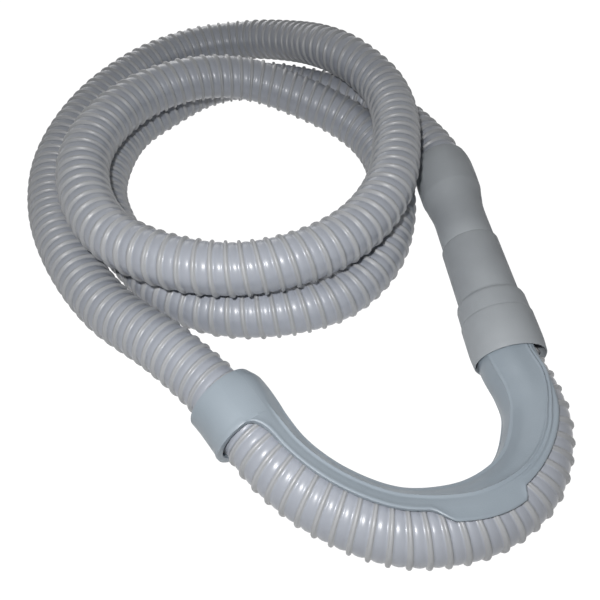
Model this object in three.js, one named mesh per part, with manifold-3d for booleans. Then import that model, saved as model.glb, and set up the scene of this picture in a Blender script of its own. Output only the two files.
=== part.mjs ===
// Ribbed hose with two stepped swivel cuffs plugged into each other and a U-bend guide.
// Millimetres, +Z up. The hose lies on z = 0 and the origin is below the middle of the whole piece.

import * as THREE from "three";
import { mergeVertices } from "three/addons/utils/BufferGeometryUtils.js";
import Module from "manifold-3d";

// Gap that touching pieces keep.
const gap = 0.3;

// Hose: outside diameter over the ribs, the tube's sides, and the steps of each stretch.
const hoseDiameter = 32.4;
const hoseSides = 12;
const lowerTurnSteps = 20;
const upperTurnSteps = 18;
const outerRunSteps = 16;
const bendSteps = 34;

// Where one stretch of the hose ends and the next starts, along the hose from the upper cuff.
const lowerTurnEnd = 786;
const upperTurnEnd = 1445;
const outerRunEnd = 2061;

// Cuffs: one straight axis, from the seam where the lower neck's rim meets the upper neck.
const seamX = 140.2;
const seamY = -41;
const cuffHeight = 20.8;
const cuffTurn = 5.5;
const cuffSegments = 48;

// Collars: the rings that end the hose inside each cuff.
const collarLength = 15;
const collarWall = 2.1;
const collarClearance = 0.5;
const collarSlack = 0.7;
const collarLip = 2;
const collarLipHeight = 3.1;
const keeperWidth = 3;
const keeperClearance = 1.2;
const collarDiameter = hoseDiameter + 2 * (collarClearance + collarWall);
const collarBore = collarDiameter - 2 * (collarWall + collarLipHeight);

// Guide: a ring round the hose, then a channel on the inner side of the bend.
const guideStart = 2105;
const ringLength = 27;
const ringWall = 3;
const channelWall = 1.4;
const guideClearance = 0.7;
const guideTuck = 10;
const guideStep = 5;
const channelSides = 13;

// The guide's heel: its thicker inner side near the ring's start.
const heelHeight = 2.6;
const heelPeak = 7;
const heelEnd = 32;

// How far round the hose the channel reaches, in degrees, and where the tab on it starts and ends.
const shallowEdge = 72;
const tabEdge = 99;
const deepEdge = 87;
const cuffEdge = 117;
const tabStart = 125;
const tabRamp = 13;
const tabEnd = 170;
const tabStep = 6;

// Upper cuff, measured from the seam towards its own mouth, with the spigot in the lower cuff.
const upperMouthEnd = 81;
const upperBandEnd = 67;
const upperBandStart = 46;
const upperShoulderStart = 29;
const mouthClearance = 0.8;
const upperMouthWall = 1.2;
const upperConeWall = 3.2;
const upperBandWall = 1.5;
const upperNeckRise = 1.2;
const spigotLength = 30;
const spigotDiameter = 31;
const spigotWall = 2;
const upperMouthDiameter = hoseDiameter + 2 * (mouthClearance + upperMouthWall);
const upperConeDiameter = hoseDiameter + 2 * (mouthClearance + upperConeWall);
const upperBandDiameter = collarDiameter + 2 * (gap + upperBandWall);
const upperNeckDiameter = spigotDiameter + 2 * upperNeckRise;
const spigotBore = spigotDiameter - 2 * spigotWall;

// Lower cuff, measured from the seam towards its own mouth, which also takes the guide's end.
const lowerNeckEnd = 44;
const lowerNeckCone = 3;
const lowerStepEnd = 58;
const lowerSleeveEnd = 78;
const lowerMouthEnd = 84;
const lowerNeckWall = 2.2;
const lowerStepWall = 1.2;
const lowerSleeveWall = 1.6;
const lowerMouthWall = 1.1;
const guideSlack = 0.9;
const lowerNeckDiameter = spigotDiameter + 2 * (gap + lowerNeckWall);
const lowerStepDiameter = collarDiameter + 2 * (gap + lowerStepWall);
const lowerMouthBore = hoseDiameter + 2 * (guideClearance + channelWall + guideSlack);
const lowerMouthDiameter = lowerMouthBore + 2 * lowerMouthWall;
const lowerSleeveDiameter = lowerMouthBore + 2 * lowerSleeveWall;

// The hose's centreline, from the collar in the upper cuff to the collar in the lower cuff.
const hosePoints = [
  // out of the upper cuff and down on to the ground
  [135.1, 12.2, 20.8], [133.1, 32.7, 20.8], [131.1, 50, 20.6], [125.3, 67.5, 18.7], [117.2, 86, 16.8],
  [103.2, 106.5, 16],
  // first turn, on the ground
  [74.5, 125, 16], [38.5, 139.5, 16], [3, 148.5, 16], [-27, 149.5, 16], [-55, 137.5, 16], [-80, 113, 16],
  [-103, 83, 16], [-111.5, 49, 16], [-110.3, 14, 16], [-96.8, -18.8, 16], [-76.2, -47.8, 16],
  [-50, -73.3, 16],
  [-18.5, -87, 16], [21, -87, 16], [55, -75, 16], [80, -48, 16], [92.5, -14, 16], [96, 23, 16],
  // up over the first turn
  [93, 51, 16.3], [82.5, 74, 18], [61, 93, 23], [25, 108, 32], [-11, 114, 41], [-48, 106, 47],
  // second turn, on the first
  [-83, 85, 48], [-105, 51, 49], [-112, 11, 50], [-103, -25, 49], [-81, -56, 49], [-45, -76, 50],
  [-5, -81, 49], [34, -71, 49], [65, -49, 49], [86, -16, 50], [95, 25, 50], [96.7, 63, 50],
  // round the back and down to the ground
  [90.5, 92, 50], [79.5, 111, 51], [67, 127, 51.6], [49.5, 149, 47], [23.5, 182.5, 33], [-17, 208.5, 19.5],
  [-60.5, 204.8, 16],
  // outer run, on the ground
  [-100, 178, 16], [-130, 136.5, 16], [-146.5, 91, 16], [-151, 43, 16], [-140.4, -5, 17.6],
  [-116.8, -50.2, 20.5],
  // into the guide, round the bend and into the lower cuff
  [-85.2, -88.6, 21.5], [-45.4, -118.4, 23.6], [-11.5, -149, 24], [18.5, -185, 24], [44.3, -203.8, 23],
  [75, -214.5, 22],
  [105, -213, 21.5], [124, -206, 21], [140.6, -193.6, 20.8], [150.6, -178, 20.8], [155.4, -159, 20.8],
  [153.2, -141.5, 20.8], [148.2, -124.6, 20.8], [145, -90.8, 20.8],
];

const greyRubber = { color: 0xa9adb1, roughness: 0.75, metalness: 0 };
const hosePlastic = { color: 0xb4b7c2, roughness: 0.45, metalness: 0 };
const guidePlastic = { color: 0x9aa7b3, roughness: 0.5, metalness: 0 };
const whitePlastic = { color: 0xd9dadc, roughness: 0.55, metalness: 0 };

const degrees = Math.PI / 180;
const object = new THREE.Group();

const route = new THREE.CatmullRomCurve3(
  hosePoints.map(([x, y, z]) => new THREE.Vector3(x, y, z)),
  false,
  "centripetal",
);
route.arcLengthDivisions = 4000;
const hoseLength = route.getLength();

// The place on the route that is a distance along it, with its sideways and upward directions.
function routeFrame(distance) {
  const share = Math.min(Math.max(distance / hoseLength, 0), 1);
  const point = route.getPointAt(share);
  const ahead = route.getTangentAt(share);
  const left = new THREE.Vector3(0, 0, 1).cross(ahead).normalize();
  const up = ahead.clone().cross(left);
  return { point, left, up };
}

function addPiece(name, geometry, finish, parent) {
  geometry.computeVertexNormals();
  const mesh = new THREE.Mesh(geometry, new THREE.MeshStandardMaterial(finish));
  mesh.name = name;
  parent.add(mesh);
}

// Bends a straight extrusion along the hose: its x points left of the hose's way and its y up.
function bendAlong(geometry, start) {
  const position = geometry.getAttribute("position");
  for (let index = 0; index < position.count; index += 1) {
    const { point, left, up } = routeFrame(start + position.getZ(index));
    point.addScaledVector(left, position.getX(index));
    point.addScaledVector(up, position.getY(index));
    position.setXYZ(index, point.x, point.y, point.z);
  }
  return geometry;
}

// A polygon round the hose's centre, with a flat side below and above.
function roundSection(radius, sides) {
  const points = [];
  for (let side = 0; side < sides; side += 1) {
    const angle = ((side + 0.5) * 2 * Math.PI) / sides;
    points.push(new THREE.Vector2(radius * Math.cos(angle), radius * Math.sin(angle)));
  }
  return points;
}

function addHose(name, start, end, steps) {
  const section = new THREE.Shape(roundSection(hoseDiameter / 2, hoseSides));
  const options = { depth: end - start, steps, bevelEnabled: false };
  const tube = new THREE.ExtrudeGeometry(section, options);
  addPiece(name, bendAlong(tube, start), hosePlastic, object);
}

// A ring turned about the cuffs' axis, from an outline of [radius, distance from the seam].
function turned(outline) {
  const points = outline.map(([radius, along]) => new THREE.Vector2(radius, along));
  points.push(points[0].clone());
  const geometry = new THREE.LatheGeometry(points, cuffSegments, Math.PI / cuffSegments);
  return geometry;
}

function hoseCollar(outerEnd, direction) {
  const radius = collarDiameter / 2;
  const sleeve = hoseDiameter / 2 + collarClearance;
  const inner = outerEnd - direction * collarLength;
  const outline = [
    [radius, outerEnd],
    [sleeve, outerEnd],
    [sleeve, inner + direction * collarLip],
    [collarBore / 2, inner + direction * collarLip],
    [collarBore / 2, inner],
    [radius, inner],
  ];
  return direction > 0 ? outline : outline.reverse();
}

function addCuffs() {
  const axis = new THREE.Group();
  axis.position.set(seamX, seamY, cuffHeight);
  axis.rotation.z = cuffTurn * degrees;
  object.add(axis);

  const sleeve = collarDiameter / 2 + gap;
  const keeper = hoseDiameter / 2 + mouthClearance;
  const upperCollarEnd = upperBandEnd - 1 - gap;
  const upperOutline = [
    [spigotDiameter / 2, -spigotLength],
    [spigotDiameter / 2, 0],
    [upperNeckDiameter / 2, 0],
    [upperNeckDiameter / 2, upperShoulderStart],
    [upperBandDiameter / 2, upperBandStart],
    [upperBandDiameter / 2, upperBandEnd],
    [upperConeDiameter / 2, upperBandEnd + 1],
    [upperMouthDiameter / 2, upperMouthEnd],
    [keeper, upperMouthEnd],
    [keeper, upperBandEnd],
    [sleeve, upperBandEnd - 1],
    [sleeve, upperCollarEnd - collarLength - collarSlack],
    [spigotBore / 2, upperShoulderStart + 2],
    [spigotBore / 2, -spigotLength],
  ];
  addPiece("upper_cuff", turned(upperOutline), greyRubber, axis);

  const neckBore = spigotDiameter / 2 + gap;
  const lip = hoseDiameter / 2 + keeperClearance;
  const roomStart = lowerNeckEnd + lowerNeckCone;
  const keeperStart = roomStart + collarLength + collarSlack + gap;
  const lowerOutline = [
    [lowerNeckDiameter / 2, -gap],
    [neckBore, -gap],
    [neckBore, -lowerNeckEnd],
    [sleeve, -roomStart],
    [sleeve, -keeperStart],
    [lip, -keeperStart - 1],
    [lip, -keeperStart - keeperWidth],
    [lowerMouthBore / 2, -keeperStart - keeperWidth - 1],
    [lowerMouthBore / 2, -lowerMouthEnd],
    [lowerMouthDiameter / 2, -lowerMouthEnd],
    [lowerSleeveDiameter / 2, -lowerSleeveEnd],
    [lowerSleeveDiameter / 2, -lowerStepEnd],
    [lowerStepDiameter / 2, -lowerStepEnd],
    [lowerStepDiameter / 2, -lowerNeckEnd],
    [lowerNeckDiameter / 2, -lowerNeckEnd],
  ];
  addPiece("lower_cuff", turned(lowerOutline), greyRubber, axis);

  addPiece("upper_collar", turned(hoseCollar(upperCollarEnd, 1)), whitePlastic, axis);
  const lowerCollarEnd = -keeperStart + gap;
  addPiece("lower_collar", turned(hoseCollar(lowerCollarEnd, -1)), whitePlastic, axis);
}

// How far round from the bend's inner side the channel reaches, at a distance along a guide this long.
function channelEdge(along, length) {
  const smooth = THREE.MathUtils.smoothstep;
  const tab = smooth(along, tabStart, tabStart + tabRamp) * (tabEdge - shallowEdge);
  const step = smooth(along, tabEnd, tabEnd + tabStep) * (deepEdge - tabEdge);
  const rise = smooth(along, tabEnd + tabStep, length) * (cuffEdge - deepEdge);
  return (shallowEdge + tab + step + rise) * degrees;
}

function heelRise(along, angle) {
  const smooth = THREE.MathUtils.smoothstep;
  const share = smooth(along, -2, heelPeak) * (1 - smooth(along, heelPeak, heelEnd));
  return heelHeight * share * Math.max(Math.cos(angle), 0) ** 2;
}

function solid(geometry) {
  geometry.deleteAttribute("normal");
  geometry.deleteAttribute("uv");
  const merged = mergeVertices(geometry, 1e-4);
  const vertProperties = new Float32Array(merged.getAttribute("position").array);
  const triVerts = new Uint32Array(merged.getIndex().array);
  return new wasm.Manifold(new wasm.Mesh({ numProp: 3, vertProperties, triVerts }));
}

function fromSolid(body) {
  const { vertProperties, triVerts } = body.getMesh();
  const geometry = new THREE.BufferGeometry();
  geometry.setAttribute("position", new THREE.BufferAttribute(vertProperties, 3));
  geometry.setIndex(new THREE.BufferAttribute(triVerts, 1));
  return geometry;
}

// Moves the outer points of a straight extrusion, which starts this far along the guide, out to the heel.
function raiseHeel(geometry, start, middle) {
  const position = geometry.getAttribute("position");
  for (let index = 0; index < position.count; index += 1) {
    const radius = Math.hypot(position.getX(index), position.getY(index));
    if (radius < middle) continue;
    const angle = Math.atan2(position.getY(index), position.getX(index));
    const scale = 1 + heelRise(start + position.getZ(index), angle) / radius;
    position.setX(index, position.getX(index) * scale);
    position.setY(index, position.getY(index) * scale);
  }
}

function addGuide() {
  const bore = hoseDiameter / 2 + guideClearance;
  const guideEnd = hoseLength - (lowerMouthEnd - hoseEndDepth()) + guideTuck;
  const length = guideEnd - guideStart;

  const ringShape = new THREE.Shape(roundSection(bore + ringWall, 24));
  ringShape.holes.push(new THREE.Path(roundSection(bore, 24)));
  const ringOptions = { depth: ringLength, steps: 6, bevelEnabled: false };
  const ring = new THREE.ExtrudeGeometry(ringShape, ringOptions);
  raiseHeel(ring, 0, bore + ringWall / 2);
  bendAlong(ring, guideStart);

  // Part of a ring, whose two edges then reach as far round the hose as the channel does there.
  const sector = [];
  for (let side = 0; side <= channelSides; side += 1) {
    const angle = shallowEdge * degrees * ((2 * side) / channelSides - 1);
    sector.push(new THREE.Vector2(bore * Math.cos(angle), bore * Math.sin(angle)));
  }
  const outer = sector.map((point) => point.clone().multiplyScalar(1 + channelWall / bore));
  const section = new THREE.Shape([...sector.reverse(), ...outer]);
  const overlap = ringLength / 2;
  const depth = length - overlap;
  const steps = Math.round(depth / guideStep);
  const channel = new THREE.ExtrudeGeometry(section, { depth, steps, bevelEnabled: false });
  const position = channel.getAttribute("position");
  for (let index = 0; index < position.count; index += 1) {
    const along = position.getZ(index);
    const radius = Math.hypot(position.getX(index), position.getY(index));
    const share = Math.atan2(position.getY(index), position.getX(index)) / (shallowEdge * degrees);
    const angle = share * channelEdge(along + overlap, length);
    position.setXYZ(index, radius * Math.cos(angle), radius * Math.sin(angle), along);
  }
  raiseHeel(channel, overlap, bore + channelWall / 2);
  bendAlong(channel, guideStart + overlap);
  const joined = solid(ring).add(solid(channel));
  addPiece("guide", fromSolid(joined), guidePlastic, object);
}

// How far inside the lower cuff, from the seam, the hose ends.
function hoseEndDepth() {
  return Math.hypot(hosePoints.at(-1)[0] - seamX, hosePoints.at(-1)[1] - seamY);
}

const wasm = await Module();
wasm.setup();

addHose("hose_lower_turn", 0, lowerTurnEnd - gap / 2, lowerTurnSteps);
addHose("hose_upper_turn", lowerTurnEnd + gap / 2, upperTurnEnd - gap / 2, upperTurnSteps);
addHose("hose_outer_run", upperTurnEnd + gap / 2, outerRunEnd - gap / 2, outerRunSteps);
addHose("hose_bend", outerRunEnd + gap / 2, hoseLength, bendSteps);
addCuffs();
addGuide();

export default object;
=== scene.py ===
import bisect
import math

import bmesh
import bpy
from mathutils import Matrix, Vector


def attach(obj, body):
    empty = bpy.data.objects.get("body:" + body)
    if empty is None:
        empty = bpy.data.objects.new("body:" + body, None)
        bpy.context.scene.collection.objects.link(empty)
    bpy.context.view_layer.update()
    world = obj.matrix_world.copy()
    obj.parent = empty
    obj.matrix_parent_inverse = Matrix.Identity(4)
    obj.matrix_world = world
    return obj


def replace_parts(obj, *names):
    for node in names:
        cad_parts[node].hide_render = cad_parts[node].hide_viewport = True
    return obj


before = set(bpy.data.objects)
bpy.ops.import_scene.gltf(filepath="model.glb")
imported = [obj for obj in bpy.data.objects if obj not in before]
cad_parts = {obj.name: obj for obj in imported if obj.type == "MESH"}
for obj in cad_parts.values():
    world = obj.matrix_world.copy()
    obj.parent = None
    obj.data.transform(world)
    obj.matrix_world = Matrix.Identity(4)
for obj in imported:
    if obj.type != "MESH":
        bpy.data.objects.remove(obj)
scene = bpy.context.scene
mm = 0.001
grainDepth = 0.2 * mm

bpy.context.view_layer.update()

cameraFacts = {
    "place": (0.030, -0.272, 0.2912),
    "tilt": 55,  # degrees below the horizon
    "lens": 32.7,
    "sensor": 36,
}


def makeCamera():
    data = bpy.data.cameras.new("camera")
    data.lens = cameraFacts["lens"]
    data.sensor_width = cameraFacts["sensor"]
    data.clip_start = 0.01
    data.clip_end = 20
    camera = bpy.data.objects.new("camera", data)
    camera.location = cameraFacts["place"]
    camera.rotation_euler = (math.radians(90 - cameraFacts["tilt"]), 0, 0)
    scene.collection.objects.link(camera)
    scene.camera = camera


# The hose's centreline in metres, from the collar in the upper cuff to the one in the lower cuff.
hosePoints = [
    (0.1351, 0.0122, 0.0208), (0.1331, 0.0327, 0.0208), (0.1311, 0.05, 0.0206),
    (0.1253, 0.0675, 0.0187), (0.1172, 0.086, 0.0168), (0.1032, 0.1065, 0.016),
    # first turn, on the ground
    (0.0745, 0.125, 0.016), (0.0385, 0.1395, 0.016), (0.003, 0.1485, 0.016), (-0.027, 0.1495, 0.016),
    (-0.055, 0.1375, 0.016), (-0.08, 0.113, 0.016), (-0.103, 0.083, 0.016), (-0.1115, 0.049, 0.016),
    (-0.1103, 0.014, 0.016), (-0.0968, -0.0188, 0.016), (-0.0762, -0.0478, 0.016),
    (-0.05, -0.0733, 0.016), (-0.0185, -0.087, 0.016), (0.021, -0.087, 0.016),
    (0.055, -0.075, 0.016), (0.08, -0.048, 0.016), (0.0925, -0.014, 0.016), (0.096, 0.023, 0.016),
    # up over the first turn
    (0.093, 0.051, 0.0163), (0.0825, 0.074, 0.018), (0.061, 0.093, 0.023), (0.025, 0.108, 0.032),
    (-0.011, 0.114, 0.041), (-0.048, 0.106, 0.047),
    # second turn, on the first
    (-0.083, 0.085, 0.048), (-0.105, 0.051, 0.049), (-0.112, 0.011, 0.05), (-0.103, -0.025, 0.049),
    (-0.081, -0.056, 0.049), (-0.045, -0.076, 0.05), (-0.005, -0.081, 0.049),
    (0.034, -0.071, 0.049), (0.065, -0.049, 0.049), (0.086, -0.016, 0.05), (0.095, 0.025, 0.05),
    (0.0967, 0.063, 0.05),
    # round the back and down to the ground
    (0.0905, 0.092, 0.05), (0.0795, 0.111, 0.051), (0.067, 0.127, 0.0516), (0.0495, 0.149, 0.047),
    (0.0235, 0.1825, 0.033), (-0.017, 0.2085, 0.0195), (-0.0605, 0.2048, 0.016),
    # outer run, on the ground
    (-0.1, 0.178, 0.016), (-0.13, 0.1365, 0.016), (-0.1465, 0.091, 0.016),
    (-0.151, 0.043, 0.016), (-0.1404, -0.005, 0.0176), (-0.1168, -0.0502, 0.0205),
    # into the guide, round the bend and into the lower cuff
    (-0.0852, -0.0886, 0.0215), (-0.0454, -0.1184, 0.0236), (-0.0115, -0.149, 0.024),
    (0.0185, -0.185, 0.024), (0.0443, -0.2038, 0.023), (0.075, -0.2145, 0.022),
    (0.105, -0.213, 0.0215), (0.124, -0.206, 0.021), (0.1406, -0.1936, 0.0208),
    (0.1506, -0.178, 0.0208), (0.1554, -0.159, 0.0208), (0.1532, -0.1415, 0.0208),
    (0.1482, -0.1246, 0.0208), (0.145, -0.0908, 0.0208),
]


# A smooth line through the points, as close steps of about a millimetre.
def smoothLine(points, stepsPerSpan):
    spots = [Vector(point) for point in points]
    spots = [2 * spots[0] - spots[1], *spots, 2 * spots[-1] - spots[-2]]
    line = []
    for before, here, there, after in zip(spots, spots[1:], spots[2:], spots[3:]):
        first = math.sqrt((here - before).length)
        middle = math.sqrt((there - here).length)
        last = math.sqrt((after - there).length)
        leave = (here - before) / first - (there - before) / (first + middle) + (there - here) / middle
        reach = (there - here) / middle - (after - here) / (middle + last) + (after - there) / last
        leave *= middle
        reach *= middle
        bend = 3 * (there - here) - 2 * leave - reach
        twist = 2 * (here - there) + leave + reach
        for step in range(stepsPerSpan):
            t = step / stepsPerSpan
            line.append(here + leave * t + bend * t * t + twist * t * t * t)
    line.append(spots[-2])
    return line


def smoothStep(value, low, high):
    share = min(max((value - low) / (high - low), 0.0), 1.0)
    return share * share * (3 - 2 * share)


hoseLine = smoothLine(hosePoints, 30)
hoseReach = [0.0]
for start, end in zip(hoseLine, hoseLine[1:]):
    hoseReach.append(hoseReach[-1] + (end - start).length)
hoseLength = hoseReach[-1]


# Where the hose's centre is at a distance along it, with the ways left, up and ahead there.
def alongHose(distance):
    distance = min(max(distance, 0.0), hoseLength)
    after = min(max(bisect.bisect_right(hoseReach, distance), 1), len(hoseReach) - 1)
    share = (distance - hoseReach[after - 1]) / (hoseReach[after] - hoseReach[after - 1])
    place = hoseLine[after - 1].lerp(hoseLine[after], share)
    behind = hoseLine[max(after - 2, 0)].lerp(hoseLine[max(after - 1, 1)], share)
    last = len(hoseLine) - 1
    front = hoseLine[min(after, last - 1)].lerp(hoseLine[min(after + 1, last)], share)
    ahead = (front - behind).normalized()
    left = Vector((0, 0, 1)).cross(ahead).normalized()
    return place, left, ahead.cross(left), ahead


def placeOnHose(distance, angle, radius):
    place, left, up, _ = alongHose(distance)
    return place + left * (radius * math.cos(angle)) + up * (radius * math.sin(angle))


def addObject(name, mesh, materials, smooth=True):
    data = bpy.data.meshes.new(name)
    mesh.to_mesh(data)
    mesh.free()
    for material in materials:
        data.materials.append(material)
    if smooth:
        data.shade_smooth()
    piece = bpy.data.objects.new(name, data)
    scene.collection.objects.link(piece)
    return piece


def addModifier(piece, kind, **settings):
    modifier = piece.modifiers.new(kind.lower(), kind)
    for key, value in settings.items():
        setattr(modifier, key, value)
    return modifier


def newMaterial(name):
    material = bpy.data.materials.new(name)
    material.use_nodes = True
    nodes = material.node_tree.nodes
    nodes.clear()
    output = nodes.new("ShaderNodeOutputMaterial")
    shader = nodes.new("ShaderNodeBsdfPrincipled")
    material.node_tree.links.new(shader.outputs[0], output.inputs[0])
    return material, nodes, material.node_tree.links, shader


def noiseFrom(nodes, links, coordinates, scale, detail=3.0, stretch=(1, 1, 1)):
    mapping = nodes.new("ShaderNodeMapping")
    mapping.inputs["Scale"].default_value = stretch
    noise = nodes.new("ShaderNodeTexNoise")
    noise.inputs["Scale"].default_value = scale
    noise.inputs["Detail"].default_value = detail
    links.new(coordinates, mapping.inputs["Vector"])
    links.new(mapping.outputs[0], noise.inputs["Vector"])
    return noise.outputs["Fac"]


def mixedColour(nodes, links, factor, dark, light, low=0.3, high=0.7):
    ramp = nodes.new("ShaderNodeValToRGB")
    ramp.color_ramp.elements[0].position = low
    ramp.color_ramp.elements[0].color = (*dark, 1)
    ramp.color_ramp.elements[1].position = high
    ramp.color_ramp.elements[1].color = (*light, 1)
    links.new(factor, ramp.inputs[0])
    return ramp.outputs[0]


def rangedValue(nodes, links, factor, low, high):
    ranged = nodes.new("ShaderNodeMapRange")
    ranged.inputs["From Min"].default_value = 0.3
    ranged.inputs["From Max"].default_value = 0.7
    ranged.inputs["To Min"].default_value = low
    ranged.inputs["To Max"].default_value = high
    links.new(factor, ranged.inputs["Value"])
    return ranged.outputs[0]


def addBump(nodes, links, height, shader, strength, distance):
    bump = nodes.new("ShaderNodeBump")
    bump.inputs["Strength"].default_value = strength
    bump.inputs["Distance"].default_value = distance
    links.new(height, bump.inputs["Height"])
    links.new(bump.outputs[0], shader.inputs["Normal"])


def hoseMaterial(name, facts):
    material, nodes, links, shader = newMaterial(name)
    place = nodes.new("ShaderNodeAttribute")
    place.attribute_name = "hosePlace"
    vector = place.outputs["Vector"]
    cloud = noiseFrom(nodes, links, vector, facts["cloudScale"], 4.0)
    colour = mixedColour(nodes, links, cloud, facts["dark"], facts["light"])
    links.new(colour, shader.inputs["Base Color"])
    wear = noiseFrom(nodes, links, vector, facts["wearScale"], 5.0)
    rough = rangedValue(nodes, links, wear, *facts["roughness"])
    links.new(rough, shader.inputs["Roughness"])
    grain = noiseFrom(nodes, links, vector, facts["grainScale"], 2.0, (0.35, 0.35, 1))
    addBump(nodes, links, grain, shader, facts["bump"], grainDepth)
    shader.inputs["Specular IOR Level"].default_value = 0.5
    shader.inputs["Coat Weight"].default_value = facts["coat"]
    shader.inputs["Coat Roughness"].default_value = 0.26
    return material


bandFinish = {
    "dark": (0.35, 0.372, 0.42),
    "light": (0.41, 0.434, 0.487),
    "cloudScale": 22.0,
    "wearScale": 60.0,
    "grainScale": 420.0,
    "roughness": (0.29, 0.43),
    "bump": 0.25,
    "coat": 0.25,
}
ribFinish = {
    "dark": (0.385, 0.395, 0.41),
    "light": (0.445, 0.455, 0.47),
    "cloudScale": 30.0,
    "wearScale": 80.0,
    "grainScale": 500.0,
    "roughness": (0.34, 0.48),
    "bump": 0.2,
    "coat": 0.15,
}

hoseFacts = {
    "radius": 16.25 * mm,
    "pitch": 8.5 * mm,
    "closePitch": 7.8 * mm,  # past closeEnd, where the hose is pushed together
    "closeStart": 1731 * mm,
    "closeEnd": 2101 * mm,
    "sides": 36,
    # share of the pitch and depth below the rib's crest, for the rib and then the band
    "outline": [
        (0.0, 1.65), (0.05, 0.35), (0.11, 0.0), (0.21, 0.0), (0.27, 0.35), (0.32, 1.65),
        (0.46, 1.2), (0.66, 1.0), (0.86, 1.2),
    ],
    "ribShare": 0.32,
    "weld": 0.02 * mm,
}


# One turn of the rib and its band, spun upwards round the Z axis.
def hoseTurn():
    facts = hoseFacts
    pitch = facts["pitch"]
    rings = [*facts["outline"], (1.0, facts["outline"][0][1])]
    mesh = bmesh.new()
    spots = [mesh.verts.new((facts["radius"] - depth * mm, 0, share * pitch)) for share, depth in rings]
    edges = [mesh.edges.new(pair) for pair in zip(spots, spots[1:])]
    bmesh.ops.spin(
        mesh,
        geom=spots + edges,
        cent=(0, 0, 0),
        axis=(0, 0, 1),
        dvec=(0, 0, pitch / facts["sides"]),
        angle=math.tau,
        steps=facts["sides"],
    )
    for face in mesh.faces:
        middle = face.calc_center_median()
        turn = math.atan2(middle.y, middle.x) / math.tau
        phase = (middle.z / pitch - turn) % 1.0
        face.material_index = 1 if phase < facts["ribShare"] else 0
    bmesh.ops.recalc_face_normals(mesh, faces=mesh.faces)
    return mesh


# How many turns of the rib lie between the hose's start and each step of its line.
def countTurns():
    facts = hoseFacts
    counts = [0.0]
    for start, end in zip(hoseReach, hoseReach[1:]):
        closeness = smoothStep((start + end) / 2, facts["closeStart"], facts["closeEnd"])
        pitch = facts["pitch"] + (facts["closePitch"] - facts["pitch"]) * closeness
        counts.append(counts[-1] + (end - start) / pitch)
    return counts


def makeHose():
    facts = hoseFacts
    pitch = facts["pitch"]
    counts = countTurns()
    turns = math.ceil(counts[-1]) + 2
    turn = addObject("hoseTurn", hoseTurn(), [])
    array = addModifier(turn, "ARRAY", count=turns, use_relative_offset=False, use_constant_offset=True)
    array.constant_offset_displace = (0, 0, pitch)
    array.use_merge_vertices = True
    array.merge_threshold = facts["weld"]
    whole = turn.evaluated_get(bpy.context.evaluated_depsgraph_get())
    mesh = bmesh.new()
    mesh.from_mesh(whole.to_mesh())
    bpy.data.objects.remove(turn)

    bmesh.ops.remove_doubles(mesh, verts=mesh.verts, dist=facts["weld"])
    for height, way in ((pitch, -1), (pitch + counts[-1] * pitch, 1)):
        everything = [*mesh.verts, *mesh.edges, *mesh.faces]
        cut = bmesh.ops.bisect_plane(
            mesh, geom=everything, dist=1e-7, plane_co=(0, 0, height), plane_no=(0, 0, way), clear_outer=True
        )
        rim = [item for item in cut["geom_cut"] if isinstance(item, bmesh.types.BMEdge)]
        bmesh.ops.holes_fill(mesh, edges=rim, sides=0)
    bmesh.ops.recalc_face_normals(mesh, faces=mesh.faces)

    places = []
    for vert in mesh.verts:
        count = vert.co.z / pitch - 1
        after = min(max(bisect.bisect_right(counts, count), 1), len(counts) - 1)
        share = (count - counts[after - 1]) / (counts[after] - counts[after - 1])
        distance = hoseReach[after - 1] + (hoseReach[after] - hoseReach[after - 1]) * share
        angle = math.atan2(vert.co.y, vert.co.x)
        radius = math.hypot(vert.co.x, vert.co.y)
        places.append((radius * math.cos(angle), radius * math.sin(angle), distance))
        vert.co = placeOnHose(distance, angle, radius)
    materials = [hoseMaterial("hoseBand", bandFinish), hoseMaterial("hoseRib", ribFinish)]
    piece = addObject("hose", mesh, materials)
    attribute = piece.data.attributes.new("hosePlace", "FLOAT_VECTOR", "POINT")
    attribute.data.foreach_set("vector", [value for place in places for value in place])
    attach(piece, "hose")
    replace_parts(piece, "hose_lower_turn", "hose_upper_turn", "hose_outer_run", "hose_bend")
    return piece


makeCamera()
makeHose()
print("camera and hose made")


def mouldedMaterial(name, facts):
    material, nodes, links, shader = newMaterial(name)
    place = nodes.new("ShaderNodeTexCoord").outputs["Object"]
    cloud = noiseFrom(nodes, links, place, facts["cloudScale"], 4.0)
    colour = mixedColour(nodes, links, cloud, facts["dark"], facts["light"])
    links.new(colour, shader.inputs["Base Color"])
    wear = noiseFrom(nodes, links, place, facts["wearScale"], 6.0)
    rough = rangedValue(nodes, links, wear, *facts["roughness"])
    links.new(rough, shader.inputs["Roughness"])
    grain = noiseFrom(nodes, links, place, facts["grainScale"], 2.0)
    addBump(nodes, links, grain, shader, facts["bump"], grainDepth)
    return material


cuffFinish = {
    "dark": (0.385, 0.41, 0.435),
    "light": (0.455, 0.485, 0.51),
    "cloudScale": 28.0,
    "wearScale": 90.0,
    "grainScale": 1500.0,
    "roughness": (0.55, 0.70),
    "bump": 0.35,
}
guideFinish = {
    "dark": (0.30, 0.352, 0.40),
    "light": (0.36, 0.415, 0.465),
    "cloudScale": 20.0,
    "wearScale": 70.0,
    "grainScale": 1300.0,
    "roughness": (0.34, 0.48),
    "bump": 0.25,
}
collarFinish = {
    "dark": (0.62, 0.62, 0.63),
    "light": (0.70, 0.70, 0.71),
    "cloudScale": 30.0,
    "wearScale": 90.0,
    "grainScale": 1400.0,
    "roughness": (0.45, 0.6),
    "bump": 0.2,
}

cuffAxis = {
    "seam": Vector((0.1402, -0.041, 0.0208)),
    "turn": math.radians(5.5),
    "segments": 96,
    "weld": 0.001 * mm,
    "rounding": 0.25 * mm,
}

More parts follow.
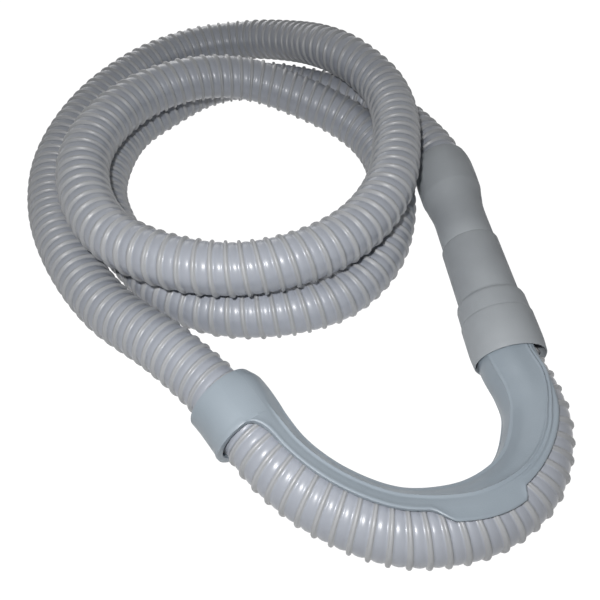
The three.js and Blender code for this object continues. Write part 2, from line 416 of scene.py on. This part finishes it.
# Outlines of [radius, distance from the seam towards the upper mouth], in millimetres.
upperCuff = {
    "outline": [
        (15.5, -30), (15.5, -0.1), (16.3, 0.1), (16.7, 0.7), (16.7, 14), (16.75, 24), (17.0, 29),
        (17.5, 32.5), (19.5, 44.2), (19.9, 45.4), (20.1, 47), (20.4, 56), (20.5, 63), (20.4, 70), (20.1, 73),
        (19.5, 77), (18.8, 80), (18.2, 81), (17.4, 81), (17.0, 80.4), (17.0, 67), (19.1, 66),
        (19.1, 49.7), (13.5, 31), (13.5, -30),
    ],
}
lowerCuff = {
    "outline": [
        (17.4, -0.3), (16.6, -0.3), (15.8, -0.9), (15.8, -44), (19.1, -47), (19.1, -63.1), (17.4, -64.1),
        (17.4, -66.1), (19.2, -67.1), (19.2, -83.4), (19.5, -84), (19.7, -84), (20.1, -83.4),
        (20.4, -80.5), (20.7, -77.5), (20.8, -74), (20.8, -58.9), (20.6, -58.2), (20.3, -57.8), (20.2, -57),
        (20.1, -47), (19.6, -45.0), (18.5, -44.1), (18.1, -43.5), (18.0, -42), (18.0, -1.2), (17.8, -0.5),
    ],
}


def makeCuff(name, facts, material, body):
    mesh = bmesh.new()
    spots = [mesh.verts.new((radius * mm, along * mm, 0)) for radius, along in facts["outline"]]
    loop = [*spots, spots[0]]
    edges = [mesh.edges.new(pair) for pair in zip(loop, loop[1:])]
    bmesh.ops.spin(
        mesh,
        geom=spots + edges,
        cent=(0, 0, 0),
        axis=(0, 1, 0),
        angle=math.tau,
        steps=cuffAxis["segments"],
        use_merge=True,
    )
    bmesh.ops.remove_doubles(mesh, verts=mesh.verts, dist=cuffAxis["weld"])
    bmesh.ops.recalc_face_normals(mesh, faces=mesh.faces)
    sharp = [edge for edge in mesh.edges if edge.calc_face_angle(0) > math.radians(50)]
    bmesh.ops.bevel(
        mesh,
        geom=sharp,
        offset=cuffAxis["rounding"],
        offset_type="OFFSET",
        segments=2,
        profile=0.5,
        affect="EDGES",
        material=-1,
        clamp_overlap=True,
    )
    place = Matrix.Translation(cuffAxis["seam"]) @ Matrix.Rotation(cuffAxis["turn"], 4, "Z")
    bmesh.ops.transform(mesh, matrix=place, verts=mesh.verts)
    piece = addObject(name, mesh, [material])
    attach(piece, body)
    return piece


cuffMaterial = mouldedMaterial("softCuff", cuffFinish)
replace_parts(makeCuff("upperCuff", upperCuff, cuffMaterial, "upper_cuff_body"), "upper_cuff")
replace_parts(makeCuff("lowerCuff", lowerCuff, cuffMaterial, "lower_cuff_body"), "lower_cuff")
for node in ("upper_collar", "lower_collar"):
    collar = bpy.data.objects[node]
    collar.data.materials.clear()
    collar.data.materials.append(mouldedMaterial(node, collarFinish))
print("cuffs made")

guideFacts = {
    "start": 2105,
    "ring": 27,
    "tuck": 10,
    "cuffMouth": 84,
    "hoseInCuff": (Vector(hosePoints[-1]) - cuffAxis["seam"]).length / mm,
    "bore": 16.9,
    "radius": 18.3,
    "ringRadius": 19.8,
    "fillet": 13,
    "ringAngle": 97,
    "step": 1.5,
    "shallow": 72,
    "tab": 90,
    "tabDeep": 101,
    "deep": 86,
    "cuffEdge": 117,
    "tabStart": 125,
    "tabRamp": 12,
    "tabEnd": 170,
    "tabStep": 5,
    "heel": 2.6,
    "heelPeak": 7,
    "heelEnd": 32,
    "thinning": 0.7,  # how much lower the channel is past its tab
    "thinStart": 205,
    "thinEnd": 235,
    "spine": 1.2,  # heights of the raised lines and of the lip along the edge
    "ridge": 1.0,
    "secondRidge": 0.8,
    "lip": 0.6,
    "weld": 0.01,
    "rounding": 0.5,
}


def guideLength():
    facts = guideFacts
    mouth = hoseLength / mm - (facts["cuffMouth"] - facts["hoseInCuff"])
    return mouth + facts["tuck"] - facts["start"]


# How far round from the bend's inner side the channel reaches, in degrees.
def guideEdge(along):
    facts = guideFacts
    if along <= facts["ring"]:
        return facts["ringAngle"]
    tabStart = facts["tabStart"]
    tabEnd = facts["tabEnd"]
    ramp = tabStart + facts["tabRamp"]
    step = tabEnd + facts["tabStep"]
    tab = facts["tab"] + (facts["tabDeep"] - facts["tab"]) * smoothStep(along, tabStart, tabEnd)
    edge = facts["shallow"]
    edge += (tab - facts["shallow"]) * smoothStep(along, tabStart, ramp)
    edge += (facts["deep"] - facts["tabDeep"]) * smoothStep(along, tabEnd, step)
    edge += (facts["cuffEdge"] - facts["deep"]) * smoothStep(along, step, guideLength())
    past = min((along - facts["ring"]) / facts["fillet"], 1)
    return edge + (facts["ringAngle"] - edge) * (1 - math.sqrt(1 - (1 - past) ** 2))


# Angles of the two raised lines that run along the channel.
def guideSpine(along):
    return 18 + 4 * smoothStep(along, 120, 210) + 9 * smoothStep(along, 215, 245)


def guideRidge(along):
    return 46 + 34 * min(max((along - 120) / 95, 0), 1) + 20 * smoothStep(along, 215, 245)


def beadRise(distance, height, width):
    return height * math.exp(-((distance / width) ** 2))


# The guide's outer radius, in millimetres.
def guideRadius(along, angle):
    facts = guideFacts
    turned = abs(angle)
    past = smoothStep(along, facts["ring"] - 4, facts["ring"] + 30)
    radius = facts["ringRadius"] + (facts["radius"] - facts["ringRadius"]) * past
    heel = smoothStep(along, -2, facts["heelPeak"])
    heel *= 1 - smoothStep(along, facts["heelPeak"], facts["heelEnd"])
    radius += facts["heel"] * heel * max(math.cos(math.radians(angle)), 0) ** 2
    shown = smoothStep(along, 4, facts["ring"])
    thin = smoothStep(along, facts["thinStart"], facts["thinEnd"])
    radius -= facts["thinning"] * thin
    spineHeight = facts["spine"] * (1 - thin / 2)
    spineWidth = 4.5 - 2 * smoothStep(along, 120, 190)
    radius += shown * beadRise(turned - guideSpine(along), spineHeight, spineWidth)
    fromRidge = turned - guideRidge(along)
    radius += shown * smoothStep(along, 20, 36) * beadRise(fromRidge, facts["ridge"], 2.4)
    radius += smoothStep(along, 150, 185) * beadRise(fromRidge - 6.5, facts["secondRidge"], 2.2)
    if along > facts["ring"]:
        inside = (guideEdge(along) - turned) / 3
    else:
        inside = facts["ring"] - along + max(facts["ringAngle"] - turned, 0) / 4
    return radius + beadRise(inside - 1.0, facts["lip"], 1.1)


# Angles of the channel's rows, closest together where the raised lines are.
def guideRows(along):
    edge = guideEdge(along)
    ridge = guideRidge(along)
    spine = guideSpine(along)
    half = [0, spine / 2]
    half += [spine + offset for offset in (-6, -3.5, -1.5, 0, 1.5, 3.5, 6)]
    between = ridge - 4 - (spine + 6)
    half += [spine + 6 + between * share for share in (0.25, 0.5, 0.75)]
    half += [ridge + offset for offset in (-4, -2.4, -1.2, 0, 1.2, 2.4, 3.6, 5, 6.5, 8, 9)]
    rest = edge - (ridge + 9)
    nearEdge = ((7, 0.8), (5, 0.6), (3.5, 0.45), (2, 0.25), (0, 0))
    last = [min(offset, rest * share) for offset, share in nearEdge]
    half += [ridge + 9 + (rest - last[0]) / 2, *(edge - offset for offset in last)]
    return [-angle for angle in half[:0:-1]] + half


def evenSteps(start, end, step):
    count = max(round((end - start) / step), 1)
    return [start + (end - start) * index / count for index in range(count + 1)]


# Lays a grid over part of the guide: its columns run along the hose and its rows round it.
def addSheet(mesh, alongs, rowsAt):
    columns = len(alongs) - 1
    rows = len(rowsAt(alongs[0])) - 1
    alongLayer = mesh.verts.layers.float["along"]
    angleLayer = mesh.verts.layers.float["angle"]
    grid = bmesh.ops.create_grid(mesh, x_segments=columns, y_segments=rows, size=0.5)
    for vert in grid["verts"]:
        along = alongs[round((vert.co.x + 0.5) * columns)]
        angle = rowsAt(along)[round((vert.co.y + 0.5) * rows)]
        vert[alongLayer] = along
        vert[angleLayer] = angle
        radius = guideRadius(along, (angle + 180) % 360 - 180) * mm
        vert.co = placeOnHose((guideFacts["start"] + along) * mm, math.radians(angle), radius)


def makeGuide():
    facts = guideFacts
    mesh = bmesh.new()
    alongLayer = mesh.verts.layers.float.new("along")
    angleLayer = mesh.verts.layers.float.new("angle")
    ring = evenSteps(0, facts["ring"], facts["step"])
    fillet = [facts["ring"] + facts["fillet"] * (index / 12) ** 2 for index in range(1, 12)]
    channel = evenSteps(facts["ring"] + facts["fillet"], guideLength(), facts["step"])
    addSheet(mesh, ring + fillet + channel, guideRows)
    addSheet(mesh, ring, lambda along: evenSteps(facts["ringAngle"], 360 - facts["ringAngle"], 6))
    bmesh.ops.remove_doubles(mesh, verts=mesh.verts, dist=facts["weld"] * mm)
    bmesh.ops.recalc_face_normals(mesh, faces=mesh.faces)

    inner = bmesh.ops.extrude_face_region(mesh, geom=mesh.faces[:], use_keep_orig=True)
    for vert in inner["geom"]:
        if isinstance(vert, bmesh.types.BMVert):
            distance = (facts["start"] + vert[alongLayer]) * mm
            vert.co = placeOnHose(distance, math.radians(vert[angleLayer]), facts["bore"] * mm)
    bmesh.ops.recalc_face_normals(mesh, faces=mesh.faces)
    return addObject("guide", mesh, [mouldedMaterial("guidePlastic", guideFinish)])


guide = makeGuide()
addModifier(
    guide,
    "BEVEL",
    width=guideFacts["rounding"] * mm,
    segments=3,
    limit_method="ANGLE",
    angle_limit=math.radians(50),
)
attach(guide, "hose")
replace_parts(guide, "guide")
print("guide made")

floorFacts = {"size": 12, "colour": (0.62, 0.62, 0.62, 1), "shown": 0.93, "glow": 1.12}


# One for a ray that shows the backdrop: from the camera, off a shiny surface or through a clear one.
def seenRay(nodes, links):
    path = nodes.new("ShaderNodeLightPath")
    seen = path.outputs["Is Camera Ray"]
    for other in ("Is Glossy Ray", "Is Transmission Ray"):
        either = nodes.new("ShaderNodeMath")
        either.operation = "MAXIMUM"
        links.new(seen, either.inputs[0])
        links.new(path.outputs[other], either.inputs[1])
        seen = either.outputs[0]
    return seen


def makeFloor():
    mesh = bmesh.new()
    bmesh.ops.create_grid(mesh, x_segments=2, y_segments=2, size=floorFacts["size"] / 2)
    material = bpy.data.materials.new("floor")
    material.use_nodes = True
    nodes = material.node_tree.nodes
    links = material.node_tree.links
    nodes.clear()
    output = nodes.new("ShaderNodeOutputMaterial")
    mix = nodes.new("ShaderNodeMixShader")
    diffuse = nodes.new("ShaderNodeBsdfDiffuse")
    diffuse.inputs["Color"].default_value = floorFacts["colour"]
    glow = nodes.new("ShaderNodeEmission")
    glow.inputs["Strength"].default_value = floorFacts["glow"]
    share = nodes.new("ShaderNodeMath")
    share.operation = "MULTIPLY"
    share.inputs[1].default_value = floorFacts["shown"]
    links.new(seenRay(nodes, links), share.inputs[0])
    links.new(share.outputs[0], mix.inputs["Fac"])
    links.new(diffuse.outputs[0], mix.inputs[1])
    links.new(glow.outputs[0], mix.inputs[2])
    links.new(mix.outputs[0], output.inputs[0])
    floor = addObject("floor", mesh, [material], smooth=False)


worldFacts = {"lit": 0.03, "shown": 1.0}


def makeWorld():
    world = bpy.data.worlds.new("world")
    scene.world = world
    world.use_nodes = True
    nodes = world.node_tree.nodes
    links = world.node_tree.links
    background = nodes["Background"]
    strength = nodes.new("ShaderNodeMapRange")
    strength.inputs["To Min"].default_value = worldFacts["lit"]
    strength.inputs["To Max"].default_value = worldFacts["shown"]
    links.new(seenRay(nodes, links), strength.inputs["Value"])
    links.new(strength.outputs[0], background.inputs["Strength"])
    background.inputs["Color"].default_value = (1, 1, 1, 1)


lampFacts = {
    "flash": {"place": (0.0, -0.255, 0.332), "aim": (0.0, -0.12, 0.02), "size": 0.02, "power": 0.98},
    "soft": {"place": (-0.6, -0.3, 1.1), "aim": (0, 0, 0), "size": 0.9, "power": 0.3},
    "back": {"place": (-0.4, 1.2, 0.2), "aim": (0, 0, 0.03), "size": 0.8, "power": 2.4},
}


def makeLamp(name, facts):
    data = bpy.data.lights.new(name, "AREA")
    data.shape = "DISK"
    data.size = facts["size"]
    data.energy = facts["power"]
    lamp = bpy.data.objects.new(name, data)
    lamp.location = facts["place"]
    lamp.rotation_euler = (Vector(facts["aim"]) - lamp.location).to_track_quat("-Z", "Y").to_euler()
    scene.collection.objects.link(lamp)


makeFloor()
makeWorld()
for lampName, lampValues in lampFacts.items():
    makeLamp(lampName, lampValues)
scene.view_settings.view_transform = "Standard"
print("floor and light made")
